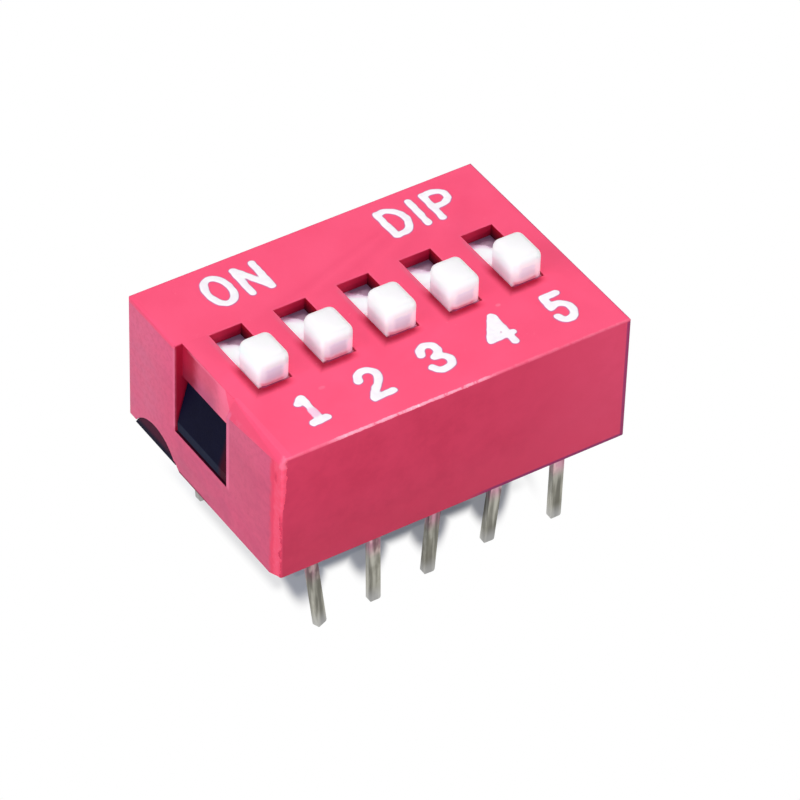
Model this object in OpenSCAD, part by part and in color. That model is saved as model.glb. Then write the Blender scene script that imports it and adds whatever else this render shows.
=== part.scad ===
// Five-position slide switch in a dual in-line package, for a printed circuit board.
// Frame: the origin is on the board, at the centre of the two rows of terminals.
// +X runs from position 1 to position 5, +Y towards ON, and +Z up off the board.
// Every slider stands at OFF, which is the numbered side.

/* [Package] */
// Distance from one position to the next
pitch = 2.54; // [2.5:0.01:2.6]
// Distance between the two rows of terminals
row_spacing = 7.62; // [7.52:0.02:7.72]
// Gap that the standoff leaves between the board and the housing
standoff_h = 0.5; // [0.4:0.05:0.6]
// Length of the terminals below the board's surface
pin_l = 3.44; // [2.8:0.04:4]

/* [Cover] */
// Length of the cover, along the row of positions
cover_l = 14; // [13.9:0.1:14.4]
// Width of the cover, along the travel of the sliders
cover_w = 9.9; // [9.8:0.1:10.3]
// Height of the cover, from its lower edge to its top
cover_h = 5.25; // [5.2:0.05:5.5]
// Thickness of the top
top_wall = 0.5; // [0.45:0.01:0.55]
// Thickness of the two long walls
side_wall = 0.55; // [0.5:0.01:0.6]
// Thickness of the two end walls
end_wall = 0.6; // [0.5:0.01:0.62]
// Radius of the upright corners
corner_r = 0.1; // [0.06:0.02:0.5]
// Radius of the top edge at each end
end_edge_r = 0.12; // [0.1:0.02:0.5]
// Radius of the top edge along each side
side_edge_r = 0.08; // [0.06:0.02:0.4]
// Length of a slot in the top
slot_l = 3.26; // [3.2:0.02:3.3]
// Width of a slot, and of the channel below it
slot_w = 1.3; // [1.28:0.01:1.4]
// How far the slots lie from the middle of the cover, towards ON
slot_shift = 0.12; // [0.06:0.02:0.16]
// Width of the latch window in each end wall, and of the recess above one of them
window_w = 3.35; // [3:0.05:3.5]
// How far the latch windows lie from the middle of the cover, towards ON
window_shift = 0.2; // [0:0.05:0.3]
// Depth of the recess above the latch window beside position 1
recess_d = 0.3; // [0.2:0.02:0.34]
// Height of the arch at the foot of the end wall beside position 1
arch_h = 0.65; // [0.4:0.05:0.8]
// Length of that arch
arch_l = 2.5; // [2:0.1:2.6]
// How far the foot of each end wall hangs below the long walls
end_foot_h = 0.26; // [0.2:0.02:0.3]

/* [Base] */
// Height of the channel floors and contact pads above the board
floor_z = 2.6; // [2.5:0.05:2.6]
// Gap between the base and the inside of the cover
base_gap = 0.04; // [0.03:0.01:0.06]
// Gap on each side of a slider's foot in its channel
foot_gap = 0.12; // [0.08:0.01:0.14]
// Gap between a latch and the edges of its window
latch_gap = 0.1; // [0.06:0.01:0.14]

/* [Sliders] */
// Width of the knob
knob_w = 1.22; // [1.1:0.01:1.24]
// Length of the knob, along its travel
knob_l = 1.52; // [1.4:0.02:1.6]
// Height of the knob above the cover
knob_h = 1.08; // [0.8:0.02:1.2]
// Radius of the knob's upright edges
knob_edge_r = 0.2; // [0.1:0.02:0.3]
// Radius of the knob's top edges
knob_top_r = 0.36; // [0.2:0.02:0.4]
// Gap between the knob and each end of its slot
end_gap = 0.03; // [0.02:0.01:0.06]
// Width of the step beside the knob
step_w = 1.23; // [1.12:0.01:1.24]
// Length of the step on each side of the knob
step_l = 2.04; // [1.9:0.02:2.08]
// Width of the foot that the cover holds in
foot_w = 1.7; // [1.6:0.02:1.74]
// Running gap above the step and above the foot
top_gap = 0.05; // [0.04:0.01:0.07]

/* [Contacts] */
// Width of a terminal inside the base
pad_w = 0.9; // [0.7:0.05:1]
// Width of a terminal below the base
pin_w = 0.45; // [0.4:0.01:0.5]
// Thickness of the terminal strip
strip_t = 0.25; // [0.2:0.01:0.28]
// Where the pad on the numbered side ends
number_pad_end = 0.1; // [0:0.02:0.12]
// Where the pad on the ON side ends
on_pad_end = 0.8; // [0.76:0.02:0.9]
// Width of a bridge
bridge_w = 0.8; // [0.7:0.05:0.9]
// Thickness of the bridge strip
bridge_t = 0.1; // [0.08:0.01:0.1]
// Distance from one contact point of a bridge to the other
bridge_span = 2.2; // [2.1:0.02:2.3]

/* [Hidden] */
$fn = 48;
positions = 5;
eps = 0.01;

// Heights above the board
cover_top = standoff_h + cover_h;
ceiling = cover_top - top_wall;
rib_foot = ceiling - 0.9;
foot_top = rib_foot - top_gap;
foot_z = foot_top - 0.85;
step_z = ceiling - top_gap;
window_z = [standoff_h + 1.43, standoff_h + 3.8];

// Plan sizes
cover_in = [cover_l - 2 * end_wall, cover_w - 2 * side_wall];
base_size = [cover_in.x - 2 * base_gap, cover_in.y - 2 * base_gap];
channel_l = 7.8;
channel_w = foot_w + 2 * foot_gap;
travel = slot_l - knob_l - 2 * end_gap;
step_corner_r = 0.06;
knob_y = slot_shift - travel / 2;

// Distance from the ON side of the cover to the arch, the key's gap and set-back, and
// how far the key hangs below the base
arch_inset = 0.48;
key_gap = 0.02;
key_inset = 0.03;
key_drop = 0.16;

// Ends of an end wall's foot, along Y, and how long the slope at each end is
end_foot = [-4.86, 1.9];
end_foot_slope = [0.6, 0.3];

// The bevel beside the recess: where it starts, its height there, and its angles
bevel_y = window_shift - window_w / 2 + 0.05;
bevel_h = 0.66;
bevel_tilt = 26.9;
bevel_turn = -3.2;

// Latches: the nose's height, how far it stands back from the end wall, and how deep
// the top of the ramp lies
nose_h = 0.37;
nose_inset = 0.05;
ramp_d = 0.52;

// Standoff: a rail with a bar across each end
rail = [11.2, 1];
bar = [0.8, 5.2];
well = [1.3, 0.9, 0.3];

// Terminals: the bend, the shoulder, and the rounding of a pin's tip, across its width
// and across its thickness
bend_r = 0.15;
shoulder_z = 1.1;
knee_z = 0.55;
tip_r = 0.16;
tip_edge_r = 0.08;

// The pins have been handled. Each has a shift along X, a lean in degrees towards +X,
// a lean towards +Y, and a turn about its own length.
number_bends = [
    [-0.15, 6.2, -3.6, 18],
    [-0.05, 0.4, -2, 0],
    [-0.03, -2.8, 0.8, 0],
    [0, -1.8, 4.4, 0],
    [-0.03, 1, 2, 0]
];
on_bends = [
    [0, 2.5, -5, 0],
    [0, 0.8, 0.5, 0],
    [0, -0.5, 0, 0],
    [0, 0.6, -0.6, 0],
    [0, 0, 0.4, 0]
];

// Bridges: half the flat part, and the rise of the tips past the contact points
bridge_flat = 0.5;
bridge_tip = [0.28, 0.24];
bridge_lift = 0.05;
slit_w = 0.16;
peg_r = 0.2;
peg_gap = 0.02;
peg_l = 0.22;

function position_x(i) = (i - (positions + 1) / 2) * pitch;

// A rectangle centred on the origin, with round corners.
module round_rect(size, r) {
    square([size.x - 2 * r, size.y], center = true);
    square([size.x, size.y - 2 * r], center = true);
    for (x = [-1, 1], y = [-1, 1])
        translate([x * (size.x / 2 - r), y * (size.y / 2 - r)])
            circle(r);
}

// A box centred in plan, between two heights.
module slab(size, z0, z1) {
    translate([-size.x / 2, -size.y / 2, z0])
        cube([size.x, size.y, z1 - z0]);
}

// An outline drawn in the Y-Z plane, extruded across X and centred.
module across_x(w) {
    translate([-w / 2, 0, 0])
        rotate([90, 0, 90])
            linear_extrude(w)
                children();
}

// An outline drawn in the X-Z plane, extruded across Y and centred.
module across_y(w) {
    translate([0, w / 2, 0])
        rotate([90, 0, 0])
            linear_extrude(w)
                children();
}

// A block on z = 0 with round upright edges, and a top rounded at its ends and sides.
module round_block(size, h, upright_r, end_r, side_r) {
    intersection() {
        linear_extrude(h)
            round_rect(size, upright_r);
        across_y(size.y + 1)
            round_rect([size.x, 2 * h], end_r);
        across_x(size.x + 1)
            round_rect([size.y, 2 * h], side_r);
    }
}

// ---- Cover -------------------------------------------------------------------------

// The hollow under the top, less the ribs that hang between the channels.
module cover_hollow() {
    slab(cover_in, standoff_h - 1, rib_foot);
    for (i = [1:positions])
        translate([position_x(i), 0])
            slab([slot_w, cover_in.y], rib_foot - eps, ceiling);
}

module slots() {
    for (i = [1:positions])
        translate([position_x(i), slot_shift])
            slab([slot_w, slot_l], ceiling - eps, cover_top + 1);
}

// The window in an end wall, for a latch; side is -1 or 1 along X.
module latch_window(side) {
    translate([side * (cover_l - end_wall) / 2, window_shift])
        slab([end_wall + 1, window_w], window_z.x, window_z.y);
}

// The recess from the top down to the window beside position 1, where a tool gets in.
module recess() {
    translate([-cover_l / 2 + recess_d - 1, window_shift])
        slab([2, window_w], window_z.y - eps, cover_top + 1);
}

// What the bevel takes off the end wall's top edge beside position 1, from the recess to
// the front corner, where it is narrowest.
module end_bevel() {
    intersection() {
        translate([-cover_l / 2, bevel_y, cover_top - bevel_h])
            rotate([0, bevel_tilt, bevel_turn])
                translate([-1, 0, 0])
                    cube([2, 20, 4], center = true);
        translate([-cover_l / 2, bevel_y - 4, cover_top])
            cube([2, 8, 4], center = true);
    }
}

// A round bar from x0 to x1 whose top makes the arch at the foot of the end wall. The
// arch is beside position 1, near its ON corner.
module arch_bar(x0, x1, gap) {
    arch_r = arch_l * arch_l / (8 * arch_h) + arch_h / 2;
    arch_y = cover_w / 2 - arch_inset - arch_l / 2;
    translate([x0, arch_y, standoff_h + arch_h - arch_r])
        rotate([0, 90, 0])
            cylinder(r = arch_r - gap, h = x1 - x0);
}

// The foot of an end wall, which hangs below the long walls; side is -1 or 1 along X.
module end_wall_foot(side) {
    low_z = standoff_h - end_foot_h;
    translate([side * (cover_l - end_wall) / 2, 0])
        across_x(end_wall)
            polygon([
                [end_foot[0], standoff_h + eps],
                [end_foot[0] + end_foot_slope[0], low_z],
                [end_foot[1] - end_foot_slope[1], low_z],
                [end_foot[1], standoff_h + eps]
            ]);
}

module cover() {
    color("crimson")
        difference() {
            union() {
                translate([0, 0, standoff_h])
                    round_block([cover_l, cover_w], cover_h, corner_r, end_edge_r, side_edge_r);
                end_wall_foot(-1);
                end_wall_foot(1);
            }
            cover_hollow();
            slots();
            latch_window(-1);
            latch_window(1);
            recess();
            end_bevel();
            arch_bar(-cover_l / 2 - 1, -cover_in.x / 2 + eps, 0);
        }
}

// ---- Base --------------------------------------------------------------------------

// A snap latch on the end of the base: a ramp above a nose that fills the window's foot.
module latch(side) {
    root_x = base_size.x / 2 - 0.1;
    nose_x = cover_l / 2 - nose_inset;
    low_z = window_z.x + latch_gap;
    high_z = window_z.y - latch_gap;
    outline = [
        [root_x, low_z],
        [nose_x, low_z],
        [nose_x, low_z + nose_h],
        [cover_l / 2 - ramp_d, high_z],
        [root_x, high_z]
    ];
    translate([0, window_shift])
        mirror([side < 0 ? 1 : 0, 0, 0])
            across_y(window_w - 2 * latch_gap)
                polygon(outline);
}

// The key that fills the arch, so that the cover goes on one way round.
module key() {
    intersection() {
        arch_bar(-cover_l / 2 + key_inset, -base_size.x / 2 + eps, key_gap);
        slab([cover_l, cover_w], standoff_h - key_drop, standoff_h + arch_h);
    }
}

module standoff() {
    slab(rail, 0, standoff_h + eps);
    for (s = [-1, 1])
        translate([s * (rail.x - bar.x) / 2, 0])
            slab(bar, 0, standoff_h + eps);
}

module channels() {
    for (i = [1:positions])
        translate([position_x(i), 0])
            slab([channel_w, channel_l], floor_z, ceiling);
}

// Shallow wells round the terminals, in the underside.
module wells() {
    for (i = [1:positions], s = [-1, 1])
        translate([position_x(i), s * row_spacing / 2])
            slab(well, standoff_h - 1, standoff_h + well.z);
}

module base() {
    color("#16181f")
        difference() {
            union() {
                slab(base_size, standoff_h, rib_foot - top_gap);
                latch(-1);
                latch(1);
                key();
                standoff();
            }
            channels();
            wells();
            for (i = [1:positions], s = [-1, 1])
                terminal_solid(i, s);
        }
}

// ---- Sliders -----------------------------------------------------------------------

module slider(i) {
    knob_size = [knob_w, knob_l];
    block_h = cover_top + knob_h - step_z + eps;
    step_size = [step_w, knob_l + 2 * step_l];
    foot_size = [foot_w, step_size.y - 0.3];
    color("white")
        translate([position_x(i), knob_y]) {
            translate([0, 0, step_z - eps])
                round_block(knob_size, block_h, knob_edge_r, knob_top_r, knob_top_r);
            translate([0, 0, foot_top - eps])
                linear_extrude(step_z - foot_top + eps)
                    round_rect(step_size, step_corner_r);
            slab(foot_size, foot_z, foot_top);
            translate([0, 0, foot_z - peg_l])
                cylinder(r = peg_r, h = peg_l + eps);
        }
}

// ---- Contacts ----------------------------------------------------------------------

// A stretch of strip from p to q, seen from its edge, with round ends.
module stretch(p, q, t) {
    d = q - p;
    translate(p)
        rotate(atan2(d.y, d.x))
            translate([0, -t / 2])
                square([norm(d), t]);
    translate(p)
        circle(d = t);
    translate(q)
        circle(d = t);
}

// One half of a bridge seen from its edge: the flat, the leg, and the tip turned up.
module bridge_half() {
    flat_z = foot_z - bridge_t / 2;
    touch = [bridge_span / 2, floor_z + bridge_lift + bridge_t / 2];
    stretch([0, flat_z], [bridge_flat, flat_z], bridge_t);
    stretch([bridge_flat, flat_z], touch, bridge_t);
    stretch(touch, touch + bridge_tip, bridge_t);
}

module bridge(i) {
    color("gold")
        translate([position_x(i), knob_y])
            difference() {
                across_x(bridge_w) {
                    bridge_half();
                    mirror([1, 0])
                        bridge_half();
                }
                for (s = [-1, 1])
                    translate([0, s * (bridge_flat + 1.1)])
                        slab([slit_w, 2], floor_z - 1, foot_z + 1);
                translate([0, 0, floor_z])
                    cylinder(r = peg_r + peg_gap, h = 2);
            }
}

// The upright stretch of a terminal above its knee: the shoulder and its taper.
module shoulder() {
    half_pad = pad_w / 2;
    half_pin = pin_w / 2;
    bend_z = floor_z - strip_t - bend_r;
    across_y(strip_t)
        polygon([
            [-half_pad, bend_z],
            [half_pad, bend_z],
            [half_pad, shoulder_z],
            [half_pin, shoulder_z - 0.3],
            [half_pin, knee_z],
            [-half_pin, knee_z],
            [-half_pin, shoulder_z - 0.3],
            [-half_pad, shoulder_z]
        ]);
}

// The outline of a pin that hangs from the origin: w wide, with its lowest corners round.
module hanging_bar(w, length, r) {
    translate([-w / 2, r - length])
        square([w, length - r + 0.1]);
    translate([r - w / 2, -length])
        square([w - 2 * r, r + eps]);
    for (s = [-1, 1])
        translate([s * (w / 2 - r), r - length])
            circle(r);
}

// The pin below the knee, with its rounded tip.
module pin(length) {
    intersection() {
        across_y(strip_t + 1)
            hanging_bar(pin_w, length, tip_r);
        across_x(pin_w + 1)
            hanging_bar(strip_t, length, tip_edge_r);
    }
}

// The bend and the arm that ends in the contact pad, from the pin row inwards.
module bend_and_arm(arm_end) {
    pin_y = -row_spacing / 2;
    bend_y = pin_y + strip_t / 2 + bend_r;
    bend_z = floor_z - strip_t - bend_r;
    translate([pad_w / 2, bend_y, bend_z])
        rotate([0, -90, 0])
            rotate(-90)
                rotate_extrude(angle = 90)
                    translate([bend_r, 0])
                        square([strip_t, pad_w]);
    translate([-pad_w / 2, bend_y - eps, floor_z - strip_t])
        cube([pad_w, arm_end - bend_y + eps, strip_t]);
}

// A whole terminal; side is -1 for the numbered side and 1 for the ON side.
module terminal_solid(i, side) {
    bend = side < 0 ? number_bends[i - 1] : on_bends[i - 1];
    arm_end = side < 0 ? number_pad_end : -on_pad_end;
    translate([position_x(i), 0]) {
        translate([0, side * row_spacing / 2]) {
            shoulder();
            translate([bend[0], 0, knee_z])
                rotate([bend[2], -bend[1], 0])
                    rotate(bend[3])
                        pin(knee_z + pin_l);
        }
        mirror([0, side < 0 ? 0 : 1, 0])
            bend_and_arm(arm_end);
    }
}

module terminal(i, side) {
    color("silver")
        terminal_solid(i, side);
}

// ---- Nodes -------------------------------------------------------------------------

cover();
base();
for (i = [1:positions]) {
    slider(i);
    bridge(i);
    terminal(i, -1);
    terminal(i, 1);
}
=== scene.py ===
"""Five-position slide switch: a red cover, a black base, white sliders, bent tin pins and a printed legend.

Lengths are given in millimetres and made metres by MM. The frame is the CAD's: the board is at z = 0,
+X runs from position 1 to position 5, and +Y points towards ON.
"""
import math

import bmesh
import bpy
from mathutils import Matrix, Vector, noise

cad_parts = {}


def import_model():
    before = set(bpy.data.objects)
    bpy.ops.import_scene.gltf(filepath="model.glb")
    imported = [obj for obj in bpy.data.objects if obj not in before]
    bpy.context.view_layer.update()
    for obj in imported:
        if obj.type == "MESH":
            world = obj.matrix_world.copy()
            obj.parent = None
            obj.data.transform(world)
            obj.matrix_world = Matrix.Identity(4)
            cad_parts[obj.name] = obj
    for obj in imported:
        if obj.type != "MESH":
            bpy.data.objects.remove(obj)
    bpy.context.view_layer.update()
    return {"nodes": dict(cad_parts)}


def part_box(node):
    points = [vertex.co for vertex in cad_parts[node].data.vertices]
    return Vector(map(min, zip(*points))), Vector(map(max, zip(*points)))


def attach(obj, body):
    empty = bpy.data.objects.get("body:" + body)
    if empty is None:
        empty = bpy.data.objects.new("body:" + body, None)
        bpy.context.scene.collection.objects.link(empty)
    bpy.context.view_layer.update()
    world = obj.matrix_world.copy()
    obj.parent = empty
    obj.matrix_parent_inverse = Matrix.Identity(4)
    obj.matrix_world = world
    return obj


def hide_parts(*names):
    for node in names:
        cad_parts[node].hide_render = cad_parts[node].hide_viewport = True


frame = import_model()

MM = 0.001
PITCH = 2.54
POSITIONS = range(1, 6)
COVER_TOP = (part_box("cover")[1] / MM).z
PIN_TIPS = min(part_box(node)[0].z for node in frame["nodes"]) / MM


# ---- Shader sums ---------------------------------------------------------------------------

class Wire:
    """A shader socket. Python sums on it add Math nodes."""

    def __init__(self, finish, socket):
        self.finish, self.socket = finish, socket

    def math(self, operation, *others):
        values = dict(enumerate((self, *others)))
        return self.finish.node("ShaderNodeMath", {"operation": operation}, values)

    def __add__(self, other):
        return self.math("ADD", other)

    __radd__ = __add__

    def __mul__(self, other):
        return self.math("MULTIPLY", other)

    __rmul__ = __mul__

    def __sub__(self, other):
        return self.math("SUBTRACT", other)

    def __rsub__(self, other):
        return (self * -1.0) + other

    def __truediv__(self, other):
        return self.math("DIVIDE", other)

    def __abs__(self):
        return self.math("ABSOLUTE")

    def high(self, other):
        return self.math("MAXIMUM", other)

    def rise(self, start, end):
        """0 below start, 1 above end, and smooth between them; falls if end is less than start."""
        settings = {"interpolation_type": "SMOOTHSTEP"}
        return self.finish.node("ShaderNodeMapRange", settings, {0: self, 1: start, 2: end})

    def between(self, low, high, soft):
        """1 from low to high, with soft edges."""
        return self.rise(low - soft, low + soft) * self.rise(high + soft, high - soft)


class Finish:
    """A material: one principled shader, and the nodes that feed it. Places are in millimetres."""

    def __init__(self, name, **uniform):
        self.material = bpy.data.materials.new(name)
        self.material.use_nodes = True
        self.tree = self.material.node_tree
        self.shader = self.tree.nodes["Principled BSDF"]
        for socket, value in uniform.items():
            self.shader.inputs[socket.replace("_", " ")].default_value = value
        place = self.node("ShaderNodeTexCoord", output="Object")
        scale = (1 / MM, 1 / MM, 1 / MM)
        self.place = self.node("ShaderNodeMapping", inputs={"Vector": place, "Scale": scale})
        self.x, self.y, self.z = self.split(self.place)

    def node(self, kind, settings=None, inputs=None, output=0):
        made = self.tree.nodes.new(kind)
        for key, value in (settings or {}).items():
            setattr(made, key, value)
        for key, value in (inputs or {}).items():
            self.feed(made.inputs[key], value)
        return Wire(self, made.outputs[output])

    def feed(self, socket, value):
        if isinstance(value, Wire):
            self.tree.links.new(value.socket, socket)
        else:
            socket.default_value = value

    def split(self, vector):
        made = self.tree.nodes.new("ShaderNodeSeparateXYZ")
        self.tree.links.new(vector.socket, made.inputs[0])
        return [Wire(self, out) for out in made.outputs]

    def local_x(self):
        """X measured from the middle of the nearest position."""
        return (self.x + PITCH * 2.5).math("MODULO", PITCH) - PITCH / 2

    def ring(self, x, y, half_x, half_y):
        """1 at a place in plan, falling smoothly to 0 at an oval round it."""
        across, along = (self.x - x) / half_x, (self.y - y) / half_y
        return (across * across + along * along).rise(1.0, 0.2)

    def grain(self, scale, detail=2.0, rough=0.5, stretch=None):
        """Noise from 0 to 1, with scale blobs in a millimetre."""
        vector = self.place
        if stretch:
            vector = self.node("ShaderNodeMapping", inputs={"Vector": vector, "Scale": stretch})
        values = {"Vector": vector, "Scale": scale, "Detail": detail, "Roughness": rough}
        return self.node("ShaderNodeTexNoise", inputs=values)

    def blend(self, amount, first, second, mode="MIX"):
        """From the first colour to the second as amount goes from 0 to 1."""
        settings = {"data_type": "RGBA", "blend_type": mode}
        values = {"Factor": amount, 6: colour(first), 7: colour(second)}
        return self.node("ShaderNodeMix", settings, values, output=2)

    def ramp(self, value, *stops):
        """A colour that changes with value through its stops, which are (value, colour) in order."""
        (start, made), *others = stops
        for stop, tint in others:
            made = self.blend(value.rise(start, stop), made, tint)
            start = stop
        return made

    def set(self, socket, value):
        self.feed(self.shader.inputs[socket], value)

    def bump(self, height, strength, distance=0.02):
        values = {"Height": height, "Strength": strength, "Distance": distance * MM}
        self.set("Normal", self.node("ShaderNodeBump", inputs=values))


def colour(value):
    return value if isinstance(value, Wire) else (*value, 1.0)


# ---- Finishes ------------------------------------------------------------------------------

# A slot's middle along Y, and half its width and length
SLOT_Y, SLOT_HALF = 0.12, (0.65, 1.63)
# The two sides of a window
WINDOW_Y = (-1.475, 1.875)
# A knob's middle along Y at rest, its width and its length
KNOB_Y, KNOB_WIDTH, KNOB_LENGTH = -0.72, 1.22, 1.52


class RedCover(Finish):
    """The cover's red, worked out region by region.

    Methods take the colour so far and return it painted. Those that paint light return its glow too.
    """

    def __init__(self):
        super().__init__("red_moulded_plastic", Specular_IOR_Level=0.1, Emission_Strength=1.0)
        self.mottle = self.grain(0.5, 3.0, 0.55).rise(0.3, 0.7)
        self.cloud = self.grain(2.0, 3.0, 0.6, stretch=(1.0, 0.55, 1.0)).rise(0.35, 0.65)
        self.speck = self.grain(5.0, 3.0, 0.65).rise(0.4, 0.7)
        self.edge = self.grain(2.6, 3.0, 0.6)
        self.ragged = self.grain(1.7, 5.0, 0.75) - 0.5
        self.across, self.along = self.local_x(), self.y - SLOT_Y
        self.front = self.y.rise(-4.86, -4.95)
        self.end = self.x.rise(-6.90, -6.98)
        self.in_wall = self.x.between(-6.985, -6.40, 0.008)
        self.bevel = self.x.between(-6.992, -6.55, 0.004) * self.y.between(-4.93, -1.47, 0.01)
        self.bevel = self.bevel * self.z.rise(4.95, 5.02)

    def walls(self):
        """The sides are painted deeper than the top, as shade. The front is painted paler towards position 5
        and low down, as light.
        """
        side = self.blend(self.mottle, (0.72, 0.050, 0.118), (0.79, 0.060, 0.138))
        side = self.blend(self.front * self.x.rise(0.5, 7.5) * 0.85, side, (0.98, 0.095, 0.205))
        side = self.blend(self.front * self.cloud * 0.3, side, (0.86, 0.070, 0.155))
        return self.blend(self.front * self.z.rise(2.2, 0.9) * 0.3, side, (0.92, 0.065, 0.150))

    def end_wall(self, side):
        """The end by position 1 has a painted lavender sheen, the floor's reflection, paler high up and
        towards its back; it is painted deeper under its window, as shade.
        """
        y, z = self.y, self.z
        sheen_and_shade = self.ramp(y, (-4.2, (0.72, 0.105, 0.215)), (-0.5, (0.79, 0.125, 0.245)),
                         (1.8, (0.79, 0.130, 0.250)), (4.0, (0.79, 0.168, 0.295)))
        sheen_and_shade = self.blend(z.rise(3.9, 4.7) * 0.4, sheen_and_shade, (0.94, 0.160, 0.310))
        shade_beneath = z.rise(2.0, 1.6) * y.between(-1.7, 1.8, 0.4)
        sheen_and_shade = self.blend(shade_beneath, sheen_and_shade, (0.88, 0.95, 0.94), "MULTIPLY")
        sheen_and_shade = self.blend(self.cloud * 0.35, sheen_and_shade, (0.88, 0.145, 0.260))
        sheen_and_shade = self.blend(self.speck * 0.3, sheen_and_shade, (0.62, 0.085, 0.175))
        # Painted shade: a dark line along the foot.
        foot_line = (z + self.ragged * 0.1).rise(0.34, 0.27) * y.between(-0.3, 1.9, 0.2)
        sheen_and_shade = self.blend(foot_line * 0.9, sheen_and_shade, (0.20, 0.015, 0.045))
        side = self.blend(self.end, side, sheen_and_shade)
        # A painted highlight: the strip on top of the end behind the recess takes the top's lit red.
        strip = self.end * (z + self.edge * 0.08).rise(5.58, 5.64) * y.rise(1.80, 1.90)
        return self.blend(strip, side, (1.0, 0.115, 0.230))

    def highlit_corner(self, side):
        """That wall's front corner is a painted highlight, a brighter strip that wanders round onto the
        front, with painted sparkle; it also glows a little.
        """
        x, y, z, ragged = self.x, self.y, self.z, self.ragged
        corner_sheen = self.end * (y + ragged * 0.5).rise(-4.16, -4.42)
        side = self.blend(corner_sheen, side, (0.96, 0.075, 0.160))
        # A darker patch breaks the strip.
        dark_patch = (y + ragged * 0.3).between(-4.70, -4.50, 0.12) * (z + ragged * 0.6).between(4.55, 5.0, 0.2)
        dark_patch = self.end * dark_patch
        side = self.blend(dark_patch * 0.65, side, (0.76, 0.036, 0.095))
        reach = z.rise(3.0, 4.6) * 0.18 - 0.05
        spill = self.front * (x - reach + ragged * 0.42).rise(-6.90, -6.95)
        side = self.blend(spill, side, (1.0, 0.090, 0.180))
        eaten = self.end * (y + ragged * 0.55).rise(-4.86, -4.90) * z.rise(3.6, 2.9)
        side = self.blend(eaten * 0.8, side, (0.70, 0.036, 0.095))
        core = self.end * (y + ragged * 0.5).rise(-4.44, -4.60) * (1.0 - dark_patch) * (1.0 - eaten)
        side = self.blend(core, side, (1.0, 0.095, 0.185))
        side = self.blend(core.high(spill) * self.speck * 0.4, side, (1.0, 0.180, 0.300))
        return side, (spill * 0.9).high(core * 0.35)

    def top(self, side):
        """The top and the bevel beside the recess are painted palest, as light; the bevel also glows. A
        painted pale sheen and a thin highlight follow the slots' edges.
        """
        across, along, cloud, speck = self.across, self.along, self.cloud, self.speck
        top = self.blend(self.mottle, (0.96, 0.088, 0.195), (0.98, 0.098, 0.212))
        rim = (abs(across) - SLOT_HALF[0]).high(abs(along) - SLOT_HALF[1]).high(abs(self.x) - 6.1)
        # Painted sheen: a pale rim beside each slot's left side.
        beside = rim.rise(0.24, 0.05) * (0.7 + cloud * 0.3) * along.between(-0.9, 1.30, 0.25)
        beside = beside * across.rise(-0.6, -0.66)
        top = self.blend(beside * 0.85, top, (0.83, 0.145, 0.245))
        top = self.blend(rim.rise(0.10, 0.02) * 0.4, top, (0.95, 0.130, 0.245))
        # Painted shadow of the knobs, to the front and left of each slot.
        knob_shadow = (rim + self.ragged * 0.12).rise(0.42, 0.05) * along.rise(0.15, -0.6) * across.rise(0.75, 0.3)
        top = self.blend(knob_shadow * (0.85 + cloud * 0.15), top, (0.54, 0.019, 0.058))
        spots = self.ring(-3.9, -2.5, 0.16, 0.10) * 0.45
        spots = spots.high(self.ring(3.5, -2.0, 0.12, 0.09) * 0.8)
        top = self.blend(spots * (0.6 + speck * 0.4), top, (1.0, 0.210, 0.320))
        speckle = self.grain(3.4, 4.0, 0.7).rise(0.66, 0.74)
        top = self.blend(speckle * 0.35, top, (1.0, 0.150, 0.260))
        red = self.blend(self.z.rise(5.64, 5.70).high(self.bevel), side, top)
        # Painted highlight specks along the bevel's lower edge.
        return self.blend(self.bevel * self.z.rise(5.42, 5.30) * speck * 0.5, red, (1.0, 0.180, 0.300))

    def recess(self, red):
        """It is painted dark as shade by its ON side and pale as light by its front edge, where it rounds
        into the top; there it also glows. A painted highlight follows its top edge.
        """
        y, z = self.y, self.z
        inside = self.x.between(-6.74, -6.50, 0.02) * z.rise(5.74, 5.70)
        inside = inside * y.between(WINDOW_Y[0] - 0.02, WINDOW_Y[1] + 0.02, 0.01)
        low = z.rise(5.3, 4.3)
        wander = y + (self.edge - 0.5) * 0.4
        shade = self.blend(low, (0.46, 0.011, 0.046), (0.25, 0.008, 0.034))
        middle = self.blend(low, (0.82, 0.120, 0.220), (0.58, 0.112, 0.226))
        shade = self.blend(wander.rise(1.32, 0.55), shade, middle)
        shade = self.blend(wander.rise(0.15, -0.9), shade, (1.0, 0.195, 0.330))
        shade = self.blend(self.speck * wander.rise(1.2, 0.6) * 0.22, shade, (0.66, 0.070, 0.145))
        shade = self.blend(z.rise(5.58, 5.66) * wander.rise(1.6, 1.0) * 0.7, shade, (1.0, 0.190, 0.310))
        rounding = (y - (z - 5.36) * 0.4).rise(-1.02, -1.10) * z.rise(5.0, 5.1)
        shade = self.blend(rounding, shade, (1.0, 0.110, 0.225))
        return self.blend(inside, red, shade), inside * wander.rise(-0.1, -0.9) * 0.8

    def window(self, red):
        """Its ON side and its sill are painted dark as shade, and its upright edges carry painted
        highlights.
        """
        x, y, z, cloud = self.x, self.y, self.z, self.cloud
        jamb = self.in_wall * y.between(1.84, 1.95, 0.01) * z.rise(5.74, 5.66)
        red = self.blend(jamb, red, (0.46, 0.008, 0.040))
        near_line = x.rise(-6.80, -6.88) * y.between(-1.65, -1.49, 0.05) * z.between(1.95, 5.30, 0.10)
        red = self.blend(near_line * (0.7 + cloud * 0.3), red, (0.95, 0.205, 0.370))
        far_line = x.rise(-6.90, -6.98) * y.between(1.87, 1.97, 0.04) * z.between(2.1, 5.66, 0.10)
        red = self.blend(far_line * (0.4 + cloud * 0.3), red, (0.92, 0.210, 0.350))
        sill = self.in_wall * z.between(1.86, 1.95, 0.01) * y.between(*WINDOW_Y, 0.05)
        return self.blend(sill, red, (0.045, 0.004, 0.016))

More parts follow.
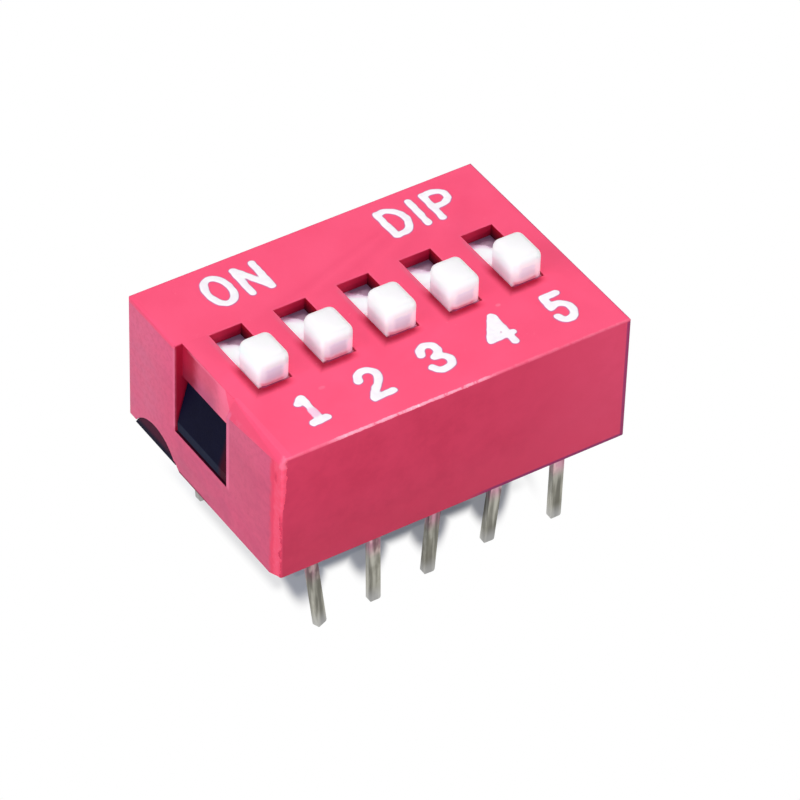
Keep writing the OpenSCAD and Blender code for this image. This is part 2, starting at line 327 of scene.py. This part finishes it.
    def slots(self, red):
        """Their walls are painted as shade: the far walls deep red and darker with depth, the walls towards
        position 5 nearly black. A corner by the knob's front glows a little.
        """
        across, along, z = self.across, self.along, self.z
        wall = self.blend(across.rise(-0.55, 0.30), (0.60, 0.014, 0.066), (0.40, 0.006, 0.038))
        wall = self.blend(z.rise(5.54, 5.40), wall, (0.80, 0.85, 0.85), "MULTIPLY")
        wall = self.blend(z.rise(5.34, 5.22), wall, (0.30, 0.010, 0.040))
        shaded = self.ramp(z, (5.68, (0.31, 0.004, 0.018)), (5.45, (0.16, 0.003, 0.014)),
                           (5.26, (0.085, 0.003, 0.012)))
        wall = self.blend(across.rise(0.60, 0.64), wall, shaded)
        wall = self.blend(along.rise(0.6, -0.2), wall, (0.52, 0.020, 0.060))
        inside = z.rise(5.735, 5.70) * self.x.between(-6.4, 6.4, 0.05) * self.y.between(-4.5, 4.5, 0.05)
        return self.blend(inside, red, wall), inside * along.rise(-1.25, -1.42) * across.rise(0.25, 0.45)

    def far_edges(self, red):
        """Thin dark lines of painted shade follow the edges of the top and front that lie farthest from
        position 1.
        """
        x, y, z = self.x, self.y, self.z
        outline = z.rise(5.64, 5.69) * x.rise(6.91, 6.95).high(y.rise(4.88, 4.92)) * 0.75
        outline = outline.high(x.rise(6.79, 6.85) * y.rise(-4.83, -4.88) * z.rise(5.72, 5.60) * 0.9)
        lower = self.front * (z + self.ragged * 0.05).rise(0.66, 0.57) * x.rise(0.3, 1.6)
        return self.blend(outline.high(lower) * 0.85, red, (0.26, 0.040, 0.165))

    def worn_and_highlit_edges(self, red):
        """Whitened wear with a painted highlight runs along the top front edge, fainter farther on, to a
        painted highlight on the corner by position 1; both glow a little.
        """
        x, y, z, ragged = self.x, self.y, self.z, self.ragged
        chips = self.grain(2.2, 5.0, 0.8, stretch=(1.0, 0.3, 0.3))
        edge_line = (z + ragged * 0.12).rise(5.672, 5.69) * (y - ragged * 0.16).rise(-4.85, -4.90)
        worn_and_lit = edge_line * x.between(-4.9, 1.2, 0.5) * chips.rise(0.36, 0.50)
        # A faint painted highlight follows the whole edge.
        faint = edge_line * chips.rise(0.30, 0.55) * 0.6
        red = self.blend(faint, red, (1.0, 0.200, 0.310))
        red = self.blend(worn_and_lit * 0.9, red, (1.0, 0.44, 0.56))
        red = self.blend(worn_and_lit * chips.rise(0.56, 0.66), red, (1.0, 0.80, 0.86))
        # Painted highlight on the top front corner by position 1.
        corner = (x + ragged * 0.4).rise(-6.74, -6.84) * (y + ragged * 0.4).rise(-4.70, -4.82)
        corner = corner * z.rise(5.25, 5.45)
        return self.blend(corner * 0.7, red, (1.0, 0.220, 0.340)), worn_and_lit.high(corner * 0.4)


def red_plastic():
    f = RedCover()
    side, corner_light = f.highlit_corner(f.end_wall(f.walls()))
    red, recess_light = f.recess(f.top(side))
    red, slot_light = f.slots(f.window(red))
    red, edge_light = f.worn_and_highlit_edges(f.far_edges(red))
    f.set("Base Color", red)
    # Painted light: highlights and lit places glow a little through emission.
    lit = corner_light.high(edge_light).high(f.bevel * 0.75).high(slot_light).high(recess_light)
    f.set("Emission Color", f.blend(lit, (0.0, 0.0, 0.0), (0.16, 0.015, 0.030)))
    fine = f.grain(9.0, 3.0, 0.6)
    broad = f.grain(1.3, 2.0, 0.5)
    f.set("Roughness", 0.42 + fine * 0.12 + broad * 0.08)
    f.bump(fine * 0.35 + broad, 0.25, 0.02)
    return f.material


def black_plastic():
    f = Finish("black_moulded_plastic", Specular_IOR_Level=0.035)
    mottle = f.grain(1.2, 3.0, 0.6)
    black = f.blend(mottle, (0.0014, 0.0010, 0.0115), (0.0040, 0.0045, 0.0220))
    # The latch's nose gets a painted highlight; its front end and the key get a painted red reflection of
    # the cover.
    nose = f.x.rise(-6.90, -6.94) * f.z.between(2.0, 2.42, 0.02)
    black = f.blend(nose * 0.9, black, (0.009, 0.014, 0.036))
    black = f.blend(f.x.rise(-6.2, -6.4) * f.y.rise(-0.80, -1.12) * 0.95, black, (0.050, 0.002, 0.012))
    key = f.x.rise(-6.7, -6.9) * f.y.rise(1.7, 2.0) * f.z.rise(0.45, 0.75)
    black = f.blend(key * 0.85, black, (0.075, 0.009, 0.030))
    f.set("Base Color", black)
    fine = f.grain(11.0, 3.0, 0.6)
    f.set("Roughness", 0.46 + fine * 0.16)
    f.bump(fine, 0.3, 0.02)
    return f.material


def white_plastic():
    f = Finish("white_moulded_plastic", Specular_IOR_Level=0.3, Subsurface_Weight=0.6,
               Subsurface_Scale=0.5 * MM, Subsurface_Radius=(1.0, 0.9, 1.0), Emission_Strength=1.0)
    y, z = f.y, f.z
    across, along = f.local_x(), y - KNOB_Y
    cloud = f.grain(2.4, 4.0, 0.65)
    ragged = cloud - 0.5
    white = f.blend(f.grain(0.9, 3.0, 0.55).rise(0.3, 0.7), (0.955, 0.95, 0.96), (0.98, 0.975, 0.98))
    height = z + ragged * 0.16

    # Knobs: the front is painted from white through lavender shade to a pink reflection of the cover, with a
    # painted grey shade patch and a highlight on its right.
    face = f.ramp(height, (6.68, (0.97, 0.97, 0.985)), (6.50, (0.90, 0.905, 0.95)),
                  (6.30, (0.84, 0.87, 0.925)), (6.10, (0.79, 0.79, 0.88)), (5.95, (0.85, 0.72, 0.83)),
                  (5.81, (0.98, 0.33, 0.44)))
    grey = (across + ragged * 0.4).between(-0.36, 0.26, 0.09)
    grey = grey * (height + ragged * 0.1).between(5.96, 6.42, 0.08)
    face = f.blend(grey, face, (0.87, 0.845, 0.90), "MULTIPLY")
    right = across.rise(0.22, 0.44) * height.rise(6.5, 6.2)
    face = f.blend(right * 0.6, face, (1.0, 0.76, 0.84))
    front = along.rise(-0.58, -0.72)
    white = f.blend(front, white, face)
    # The left is painted greyer in a patch low down, as shade; its pink reflection of the cover is painted
    # in its glow below.
    left = across.rise(-0.46, -0.58)
    patch = left * (along + ragged * 0.3).between(-0.30, 0.55, 0.14) * height.between(5.90, 6.16, 0.08)
    white = f.blend(patch * 0.9, white, (0.91, 0.91, 0.93))
    # Its collar is painted the cover's dark shaded red at the front, on the right and at two corners.
    collar_shade = along.rise(-0.66, -0.72).high(across.rise(0.54, 0.58))
    collar_shade = collar_shade.high((across - along).rise(1.06, 1.12)).high((across + along).rise(1.22, 1.27))
    collar_shade = z.rise(5.79, 5.765) * z.rise(5.20, 5.30) * collar_shade
    white = f.blend(collar_shade, white, (0.40, 0.018, 0.055))
    # The far end of the step lies in shade.
    step = z.rise(5.24, 5.20)
    away = y + across * 0.6 + ragged * 0.25
    white = f.blend(step * away.rise(1.42, 1.78), white, (0.70, 0.50, 0.65))
    # Painted shade, darkest where the knob's back meets the right wall.
    step_shade_deep = step * (y + across * 1.2 + ragged * 0.7).rise(1.46, 1.74)
    white = f.blend(step_shade_deep, white, (0.50, 0.34, 0.44))
    f.set("Base Color", white)
    # Painted light: the shaded steps and sides glow through emission, as if lit more, with a painted shine
    # on the knobs that is stronger farther along.
    glow = f.ramp(z, (6.76, (0.0, 0.0, 0.0)), (6.55, (0.04, 0.27, 0.24)), (6.32, (0.05, 0.26, 0.28)),
                  (6.10, (0.05, 0.13, 0.16)), (5.94, (0.06, 0.12, 0.16)), (5.80, (0.24, 0.08, 0.13)))
    shine = f.ramp(z, (6.84, (0.0, 0.0, 0.0)), (6.70, (0.06, 0.15, 0.14)), (6.50, (0.0, 0.07, 0.09)),
                   (6.10, (0.03, 0.05, 0.06)), (5.80, (0.07, 0.01, 0.02)))
    shine = f.blend(right, shine, (0.20, 0.14, 0.19))
    far = f.x.rise(-4.5, 5.5) * height.between(5.86, 6.56, 0.08)
    shine = f.blend(far * 0.45, shine, (0.34, 0.30, 0.27))
    glow = f.blend(front, f.blend(left, (0.0, 0.0, 0.0), glow), shine)
    pool = f.blend(y.rise(0.65, 0.95), (0.35, 0.26, 0.34), (0.36, 0.43, 0.45))
    dusk = f.blend(f.x.rise(-4.5, -0.5), (0.35, 0.28, 0.39), (0.27, 0.13, 0.27))
    pool = f.blend(away.rise(1.24, 1.42), pool, dusk)
    pool = f.blend(away.rise(1.44, 1.66), pool, (0.03, 0.0, 0.02))
    pool = f.blend(y.rise(1.52, 1.64) * 0.7, pool, (0.24, 0.08, 0.15))
    pool = f.blend(step_shade_deep, pool, (0.06, 0.03, 0.06))
    glow = f.blend(z.rise(5.70, 5.755), (0.0, 0.0, 0.0), glow)
    f.set("Emission Color", f.blend(step, glow, pool))
    fine = f.grain(8.0, 3.0, 0.6)
    f.set("Roughness", 0.34 + fine * 0.14)
    f.bump(fine * 0.4 + f.grain(1.6, 2.0, 0.5), 0.2, 0.02)
    return f.material


def tin_plate():
    f = Finish("dull_tin_plate", Roughness=0.4, Metallic=1.0)
    streak = f.grain(4.0, 2.0, 0.5, stretch=(1.0, 1.0, 0.10))
    stain = f.grain(1.5, 3.0, 0.55, stretch=(1.0, 1.0, 0.6)).rise(0.45, 0.75)
    tin = f.blend(streak.rise(0.35, 0.65), (0.16, 0.155, 0.130), (0.47, 0.46, 0.40))
    tin = f.blend(stain * 0.6, tin, (0.15, 0.145, 0.11))
    # Painted reflection of the red cover on the pins' upper parts, and a painted glint below it.
    cover_reflection = f.blend(f.x.rise(-5.0, -1.5), (0.98, 0.56, 0.79), (1.28, 0.66, 0.98))
    tin = f.blend(f.z.rise(-1.5, -0.7), tin, cover_reflection, "MULTIPLY")
    top_glint = f.z.between(-1.25, -0.55, 0.15) * f.grain(2.5, 2.0, 0.5, stretch=(1.0, 1.0, 0.5)).rise(0.5, 0.65)
    tin = f.blend(top_glint * 0.3, tin, (1.0, 0.80, 0.74))
    tin = f.blend(f.z.rise(0.2, 0.5), tin, (0.70, 0.36, 0.40))
    tin = f.blend(f.z.rise(-2.6, -3.3) * 0.5, tin, (0.52, 0.52, 0.53))
    f.set("Base Color", tin)
    f.set("Roughness", 0.30 + streak * 0.2 + stain * 0.15)
    f.bump(streak, 0.4, 0.03)
    return f.material


def gold_plate():
    f = Finish("gold_plate", Roughness=0.3, Metallic=1.0)
    streak = f.grain(6.0, 3.0, 0.6, stretch=(1.0, 0.15, 1.0))
    f.set("Base Color", f.blend(streak, (0.75, 0.50, 0.16), (0.86, 0.64, 0.28)))
    f.set("Roughness", 0.25 + streak * 0.15)
    return f.material


def white_ink():
    f = Finish("white_printing_ink", Roughness=0.5, Specular_IOR_Level=0.2)
    patch = f.grain(3.0, 3.0, 0.6).rise(0.35, 0.7)
    ink = f.blend(patch, (0.97, 0.955, 0.975), (0.93, 0.875, 0.925))
    # The ink's lowest edge is painted purple-pink, as shade along it.
    ink = f.blend(f.z.rise(COVER_TOP + 0.014, COVER_TOP + 0.007), ink, (0.55, 0.15, 0.36))
    # The stem of the 1 is printed thinly.
    faint = f.ring(-4.80, -3.42, 0.30, 0.32) * 0.75
    ink = f.blend(faint, ink, (0.93, 0.52, 0.72))
    f.set("Base Color", ink)
    f.bump(f.grain(7.0, 3.0, 0.6), 0.3, 0.01)
    return f.material


def paint(piece, material):
    piece.data.materials.clear()
    piece.data.materials.append(material)


# ---- Softened copies of the moulded parts ----------------------------------------------------

def add_piece(name, bm, material, body):
    """Ends a bmesh as a named piece that rides on a body."""
    mesh = bpy.data.meshes.new(name)
    bm.to_mesh(mesh)
    bm.free()
    piece = bpy.data.objects.new(name, mesh)
    bpy.context.scene.collection.objects.link(piece)
    for face in mesh.polygons:
        face.use_smooth = True
    paint(piece, material)
    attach(piece, body)
    return piece


def softened(node, name, material, body, width):
    """A copy of a CAD node with its triangles joined and its sharp edges rounded."""
    bm = bmesh.new()
    bm.from_mesh(frame["nodes"][node].data)
    bmesh.ops.remove_doubles(bm, verts=bm.verts, dist=0.0005 * MM)
    bmesh.ops.dissolve_limit(bm, angle_limit=math.radians(1), verts=bm.verts, edges=bm.edges)
    piece = add_piece(name, bm, material, body)
    bevel = piece.modifiers.new("rounded_edges", "BEVEL")
    bevel.width = width * MM
    bevel.segments = 2
    bevel.limit_method = "ANGLE"
    bevel.angle_limit = math.radians(35)
    bevel.harden_normals = True
    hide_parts(node)
    return piece


# ---- Sliders ---------------------------------------------------------------------------------

# Heights on a slider: where its knob starts, then the low and high end of each other part
KNOB_FOOT = 5.19
COLLAR_Z = (5.19, 5.74)
STEP_Z = (4.25, 5.20)
FOOT_Z = (3.45, 4.30)
PEG_Z = (3.23, 3.46)
PEG_RADIUS = 0.2


def block(bm, size, middle, span, radius=0.0):
    """Adds a box to a bmesh, from its plan and its height; a radius rounds its upright edges and top."""
    bottom, top = span
    middle = Vector((*middle, (bottom + top) / 2)) * MM
    sides = [side * MM for side in (*size, top - bottom)]
    place = Matrix.Translation(middle) @ Matrix.Diagonal((*sides, 1.0))
    verts = bmesh.ops.create_cube(bm, size=1.0, matrix=place)["verts"]
    if radius:
        crown = max(vert.co.z for vert in verts) - 0.01 * MM
        edges = {edge for vert in verts for edge in vert.link_edges if vert.co.z > crown}
        bmesh.ops.bevel(bm, geom=list(edges), offset=radius * MM, segments=6, profile=0.5, affect="EDGES",
                        material=-1, clamp_overlap=True)


def slider(i):
    """A knob with a collar on its step, its foot and the peg that carries the bridge."""
    low, high = [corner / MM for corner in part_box(f"slider_{i}")]
    x, step_length = (low.x + high.x) / 2, high.y - low.y
    bm = bmesh.new()
    block(bm, (KNOB_WIDTH + 0.03, KNOB_LENGTH), (x + 0.01, KNOB_Y), (KNOB_FOOT, high.z), 0.30)
    block(bm, (1.27, KNOB_LENGTH + 0.05), (x - 0.01, KNOB_Y), COLLAR_Z, 0.10)
    block(bm, (1.28, step_length), (x, KNOB_Y), STEP_Z)
    block(bm, (1.70, step_length - 0.3), (x, KNOB_Y), FOOT_Z)
    peg = Matrix.Translation(Vector((x, KNOB_Y, sum(PEG_Z) / 2)) * MM)
    bmesh.ops.create_cone(bm, cap_ends=True, segments=32, radius1=PEG_RADIUS * MM,
                          radius2=PEG_RADIUS * MM, depth=(PEG_Z[1] - PEG_Z[0]) * MM, matrix=peg)
    piece = add_piece(f"knob_{i}", bm, WHITE, f"slide_{i}")
    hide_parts(f"slider_{i}")


# ---- Printed legend --------------------------------------------------------------------------

INK_WIDTH = 0.335
BOLD = ("legend_2", "legend_3", "legend_5")
BOLD_WIDTH = 0.365
INK_HEIGHT = 0.02
# The farthest that a letter's outline wanders to each side
INK_WANDER = 0.03
# Without a seed, the noise that moves the outlines would follow the clock.
noise.seed_set(1)


def stroke(points, smooth, width):
    """A flat-bottomed bead of ink along a path, as a bmesh with round ends."""
    curve = bpy.data.curves.new("stroke", "CURVE")
    curve.dimensions = "3D"
    curve.bevel_depth = width / 2
    curve.bevel_resolution = 5
    curve.resolution_u = 10
    spline = curve.splines.new("BEZIER")
    spline.bezier_points.add(len(points) - 1)
    closed = points[0] == points[-1]
    for point, (x, y) in zip(spline.bezier_points, points):
        point.co = (x, y, 0)
        point.handle_left_type = point.handle_right_type = "AUTO" if smooth else "VECTOR"
    holder = bpy.data.objects.new("stroke", curve)
    bpy.context.scene.collection.objects.link(holder)
    bpy.context.view_layer.update()
    bm = bmesh.new()
    bm.from_mesh(holder.evaluated_get(bpy.context.evaluated_depsgraph_get()).to_mesh())
    bpy.data.objects.remove(holder)
    bpy.data.curves.remove(curve)
    if not closed:
        for x, y in (points[0], points[-1]):
            ball = Matrix.Translation((x, y, 0))
            bmesh.ops.create_uvsphere(bm, u_segments=20, v_segments=12, radius=width / 2, matrix=ball)
    return bm


def legend(name, strokes):
    """One printed mark made of strokes, each (points in millimetres, smooth), joined into one skin."""
    width = BOLD_WIDTH if name in BOLD else INK_WIDTH
    whole = bmesh.new()
    for points, smooth in strokes:
        bm = stroke(points, smooth, width)
        part = bpy.data.meshes.new("part")
        bm.to_mesh(part)
        bm.free()
        whole.from_mesh(part)
        bpy.data.meshes.remove(part)
    whole = joined(whole, width / 10)
    for vert in whole.verts:
        wobble = noise.noise_vector(Vector((vert.co.x, vert.co.y, 7.0)) * 4.0)
        vert.co.x += wobble.x * INK_WANDER
        vert.co.y += wobble.y * INK_WANDER
    flat = Matrix.Diagonal((MM, MM, MM * 2 * INK_HEIGHT / width, 1.0))
    bmesh.ops.transform(whole, matrix=Matrix.Translation((0, 0, COVER_TOP * MM)) @ flat, verts=whole.verts)
    piece = add_piece(name, whole, INK, "housing")
    return piece


def joined(bm, step):
    """The outer skin of overlapping closed shells, by a voxel remesh."""
    mesh = bpy.data.meshes.new("shells")
    bm.to_mesh(mesh)
    bm.free()
    holder = bpy.data.objects.new("shells", mesh)
    bpy.context.scene.collection.objects.link(holder)
    remesh = holder.modifiers.new("skin", "REMESH")
    remesh.mode = "VOXEL"
    remesh.voxel_size = step
    smooth = holder.modifiers.new("even", "SMOOTH")
    smooth.iterations = 4
    bpy.context.view_layer.update()
    skin = bmesh.new()
    skin.from_mesh(holder.evaluated_get(bpy.context.evaluated_depsgraph_get()).to_mesh())
    bpy.data.objects.remove(holder)
    bpy.data.meshes.remove(mesh)
    return skin


def oval(x, y, half_x, half_y, steps=12):
    turn = 2 * math.pi / steps
    points = [(x + half_x * math.cos(i * turn), y + half_y * math.sin(i * turn)) for i in range(steps)]
    return points + points[:1]


LEGENDS = {
    "legend_on": [
        (oval(-4.22, 3.54, 0.43, 0.71), True),
        ([(-3.28, 4.21), (-3.30, 2.86)], False),
        ([(-3.24, 4.18), (-2.56, 2.94)], False),
        ([(-2.50, 4.22), (-2.53, 2.86)], False),
    ],
    "legend_type": [
        ([(2.56, 4.21), (2.57, 2.91)], False),
        ([(2.59, 4.23), (2.93, 4.21), (3.20, 4.02), (3.36, 3.65), (3.29, 3.25), (3.07, 2.97),
          (2.61, 2.90)], True),
        ([(3.91, 4.24), (3.88, 2.93)], False),
        ([(4.49, 4.26), (4.48, 2.92)], False),
        ([(4.52, 4.27), (4.95, 4.26), (5.20, 4.10), (5.23, 3.80), (5.05, 3.60), (4.55, 3.53)], True),
    ],
    "legend_1": [
        ([(-5.04, -2.80), (-4.78, -2.60)], False),
        ([(-4.77, -2.60), (-4.79, -3.72)], False),
        ([(-5.08, -3.89), (-4.52, -3.86)], False),
        ([(-5.05, -3.84), (-4.55, -3.81)], False),
    ],
    "legend_2": [
        ([(-2.69, -2.87), (-2.60, -2.66), (-2.40, -2.52), (-2.15, -2.53), (-1.98, -2.72), (-1.99, -3.00),
          (-2.18, -3.28), (-2.48, -3.58), (-2.68, -3.88)], True),
        ([(-2.68, -3.88), (-1.94, -3.85)], False),
    ],
    "legend_3": [
        ([(-0.17, -2.85), (-0.08, -2.62), (0.16, -2.50), (0.39, -2.58), (0.46, -2.80), (0.38, -3.02),
          (0.18, -3.14)], True),
        ([(0.18, -3.14), (0.44, -3.22), (0.58, -3.45), (0.50, -3.70), (0.25, -3.82), (-0.03, -3.78),
          (-0.18, -3.56)], True),
    ],
    "legend_4": [
        ([(2.96, -2.38), (2.25, -3.42)], False),
        ([(2.25, -3.46), (3.16, -3.42)], False),
        ([(3.00, -2.42), (2.96, -3.88)], False),
        ([(2.55, -3.30), (2.86, -2.90)], False),
    ],
    "legend_5": [
        ([(5.53, -2.48), (5.00, -2.50)], False),
        ([(4.99, -2.52), (4.95, -3.07)], False),
        ([(4.97, -3.05), (5.21, -2.97), (5.47, -3.10), (5.58, -3.36), (5.51, -3.65), (5.27, -3.85),
          (5.03, -3.80), (4.92, -3.58)], True),
    ],
}


# ---- Studio ----------------------------------------------------------------------------------

def camera():
    """A long lens, in front of position 1 and above it."""
    aim = Vector((-0.249, -1.781, 3.0)) * MM
    azimuth, elevation, roll = math.radians(-34.11), math.radians(41.23), math.radians(1.85)
    back = Vector((math.sin(azimuth) * math.cos(elevation), -math.cos(azimuth) * math.cos(elevation),
                   math.sin(elevation)))
    data = bpy.data.cameras.new("camera")
    data.lens, data.sensor_width, data.sensor_fit = 236.97, 36.0, "HORIZONTAL"
    data.clip_start, data.clip_end = 0.005, 5.0
    holder = bpy.data.objects.new("camera", data)
    turn = (-back).to_track_quat("-Z", "Y").to_matrix() @ Matrix.Rotation(roll, 3, "Z")
    holder.matrix_world = Matrix.Translation(aim + back * 179.394 * MM) @ turn.to_4x4()
    bpy.context.scene.collection.objects.link(holder)
    bpy.context.scene.camera = holder


def sun(name, azimuth, elevation, level, spread, tint=(1, 1, 1)):
    """A lamp far off; level 1 renders a white face turned to it as white."""
    data = bpy.data.lights.new(name, "SUN")
    data.energy = level * math.pi
    data.angle = math.radians(spread)
    data.color = tint
    holder = bpy.data.objects.new(name, data)
    a, e = math.radians(azimuth), math.radians(elevation)
    towards = Vector((math.cos(a) * math.cos(e), math.sin(a) * math.cos(e), math.sin(e)))
    holder.rotation_mode = "QUATERNION"
    holder.rotation_quaternion = towards.to_track_quat("Z", "Y")
    bpy.context.scene.collection.objects.link(holder)


def world(level, tint):
    """Soft light all round, and a white background behind the floor."""
    made = bpy.data.worlds.new("studio")
    bpy.context.scene.world = made
    made.use_nodes = True
    tree = made.node_tree
    tree.nodes.clear()
    path = tree.nodes.new("ShaderNodeLightPath")
    seen = tree.nodes.new("ShaderNodeMath")
    seen.operation = "MAXIMUM"
    tree.links.new(path.outputs["Is Camera Ray"], seen.inputs[0])
    tree.links.new(path.outputs["Is Transmission Ray"], seen.inputs[1])
    soft = tree.nodes.new("ShaderNodeBackground")
    soft.inputs["Color"].default_value = (*tint, 1)
    soft.inputs["Strength"].default_value = level
    white = tree.nodes.new("ShaderNodeBackground")
    white.inputs["Strength"].default_value = 1.0
    white.inputs["Color"].default_value = (1, 1, 1, 1)
    mix = tree.nodes.new("ShaderNodeMixShader")
    out = tree.nodes.new("ShaderNodeOutputWorld")
    tree.links.new(seen.outputs[0], mix.inputs[0])
    tree.links.new(soft.outputs[0], mix.inputs[1])
    tree.links.new(white.outputs[0], mix.inputs[2])
    tree.links.new(mix.outputs[0], out.inputs[0])


def white_sweep():
    """A white floor whose shadow is kept close under the part, where its colour is painted a darker
    blue-grey as shadow. It lights the part like a grey one.
    """
    f = Finish("white_sweep", Roughness=1.0, Specular_IOR_Level=0.0)
    seen = f.node("ShaderNodeLightPath", output="Is Camera Ray")
    seen = seen.high(f.node("ShaderNodeLightPath", output="Is Glossy Ray"))
    white = f.blend(f.grain(0.2), (0.93, 0.95, 0.98), (0.95, 0.97, 1.0))
    x, y = f.x, f.y
    shade_beneath = y.rise(-2.1, -1.55) * y.rise(6.5, 4.5) * x.rise(6.0, 2.6)
    shade_beneath = shade_beneath * (x.rise(-5.42, -4.95) * 0.38 + x.rise(-4.75, -4.15) * 0.62)
    # Painted shadow: every pin gets a soft darker halo along its slanting shadow, wider towards the body.
    slant = x - (y + 3.4) * 0.54
    aside = (slant + 8.63).math("MODULO", PITCH) - PITCH / 2
    pin_shadow = (abs(aside) - (y + 3.2) * 0.42).rise(0.52, -0.02) * y.rise(-3.3, -2.2) * y.rise(0.5, -0.5)
    shade_beneath = shade_beneath.high(pin_shadow * slant.rise(-6.3, -5.9) * slant.rise(5.0, 3.6) * 0.92)
    white = f.blend(shade_beneath, white, (0.45, 0.51, 0.61))
    f.set("Base Color", f.blend(seen, (0.30, 0.30, 0.31), white))
    bright = f.node("ShaderNodeEmission", inputs={"Color": (1, 1, 1, 1), "Strength": 1.0}, output=0)
    bare = seen * (1.0 - shade_beneath * 0.95)
    mixed = f.node("ShaderNodeMixShader", inputs={0: bare, 1: Wire(f, f.shader.outputs[0]), 2: bright})
    f.feed(f.tree.nodes["Material Output"].inputs["Surface"], mixed)
    return f.material


def floor():
    bm = bmesh.new()
    bmesh.ops.create_grid(bm, x_segments=1, y_segments=1, size=1.2)
    bmesh.ops.translate(bm, vec=(0, 0, (PIN_TIPS - 0.01) * MM), verts=bm.verts)
    mesh = bpy.data.meshes.new("floor")
    bm.to_mesh(mesh)
    bm.free()
    piece = bpy.data.objects.new("floor", mesh)
    bpy.context.scene.collection.objects.link(piece)
    paint(piece, white_sweep())


# ---- Making ----------------------------------------------------------------------------------

camera()
RED, BLACK, WHITE, TIN, GOLD, INK = (
    red_plastic(), black_plastic(), white_plastic(), tin_plate(), gold_plate(), white_ink())

softened("cover", "cover_shell", RED, "housing", 0.05)
for name, node in frame["nodes"].items():
    if name == "base":
        paint(node, BLACK)
    elif name.startswith("terminal"):
        paint(node, TIN)
    elif name.startswith("bridge"):
        paint(node, GOLD)
for i in POSITIONS:
    slider(i)
for name, strokes in LEGENDS.items():
    legend(name, strokes)

floor()
world(0.24, (0.96, 0.97, 1.0))
sun("overhead_softbox", 52, 66, 0.47, 18)
sun("left_fill", 183, 15, 0.66, 60, (0.97, 0.96, 1.0))
sun("front_fill", 268, 25, 0.42, 65, (0.99, 0.97, 1.0))
bpy.context.scene.view_settings.view_transform = "Standard"
